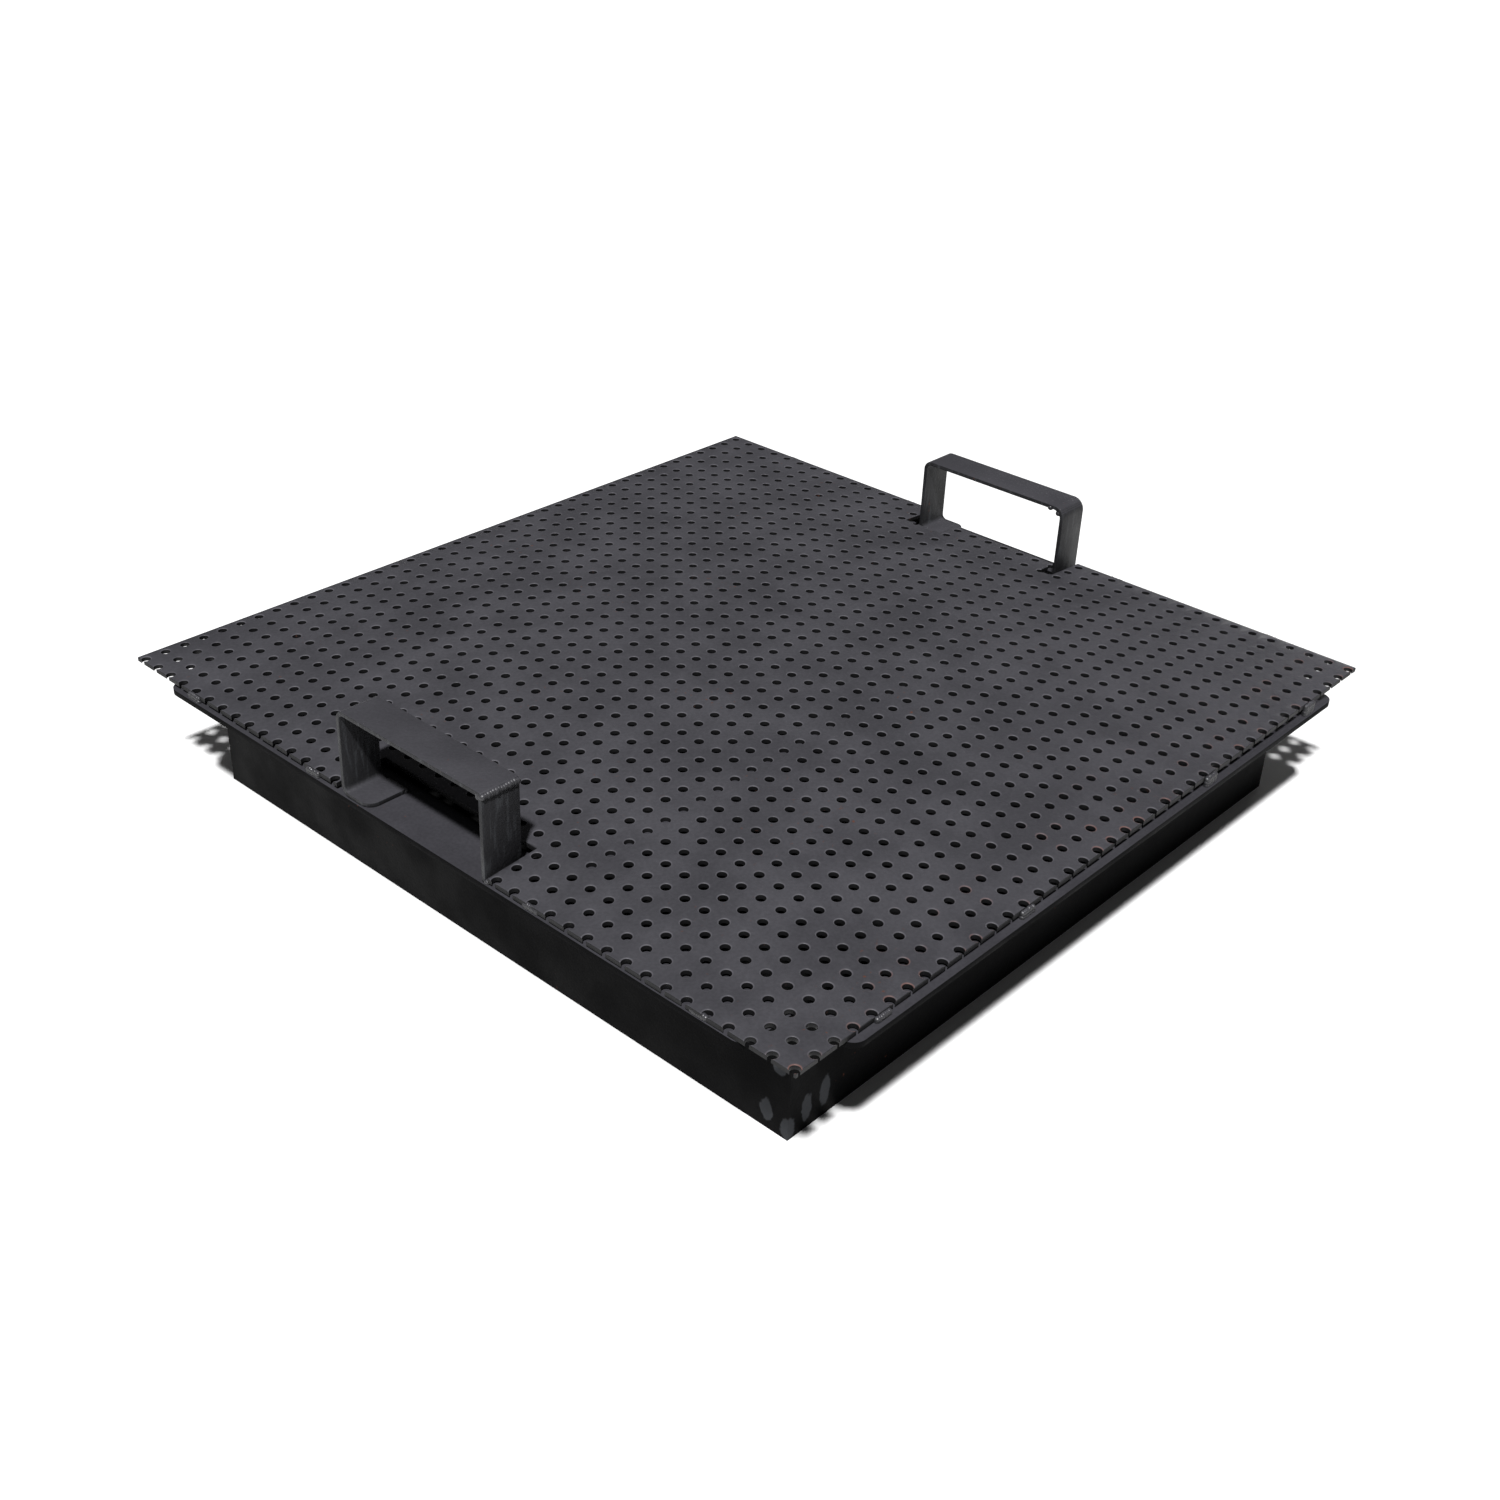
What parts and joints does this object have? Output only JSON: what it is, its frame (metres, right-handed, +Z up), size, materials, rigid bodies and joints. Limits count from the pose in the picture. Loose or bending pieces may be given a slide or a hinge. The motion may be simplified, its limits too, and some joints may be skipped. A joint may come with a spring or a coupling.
{
  "type": "perforated access cover",
  "caption": "Square perforated steel sheet on a flanged box frame, with a flat-bar lifting handle at each of two opposite sides.",
  "frame": {"origin": "middle of the cover, level with the bottom edge of the skirt", "axes": "+Z up, +X towards the right handle, +Y towards the back; the sheet's edge holes are cut open on the left (-X) and front (-Y) sides"},
  "size_m": [0.6, 0.6, 0.15],
  "materials": {
    "sheet_paint": "satin black paint on perforated steel, worn greyer on top",
    "frame_paint": "satin black paint on folded steel",
    "handle_paint": "black paint on rough flat bar",
    "weld_paint": "black paint over weld beads"
  },
  "bodies": {
    "root": {"perforated_sheet": "sheet_paint", "frame_angle_front": "frame_paint", "frame_angle_back": "frame_paint", "frame_angle_left": "frame_paint", "frame_angle_right": "frame_paint", "stiffener_front": "frame_paint", "stiffener_back": "frame_paint", "handle_bar_left": "handle_paint", "handle_bar_right": "handle_paint", "handle_post_left": "handle_paint", "handle_post_right": "handle_paint", "handle_corner_weld_left": "weld_paint", "handle_corner_weld_right": "weld_paint", "handle_foot_welds_left": "weld_paint", "handle_foot_welds_right": "weld_paint", "corner_weld_front_left": "weld_paint", "corner_weld_front_right": "weld_paint", "corner_weld_back_left": "weld_paint", "corner_weld_back_right": "weld_paint", "stiffener_welds": "weld_paint", "sheet_tack_welds": "weld_paint"}
  },
  "joints": []
}
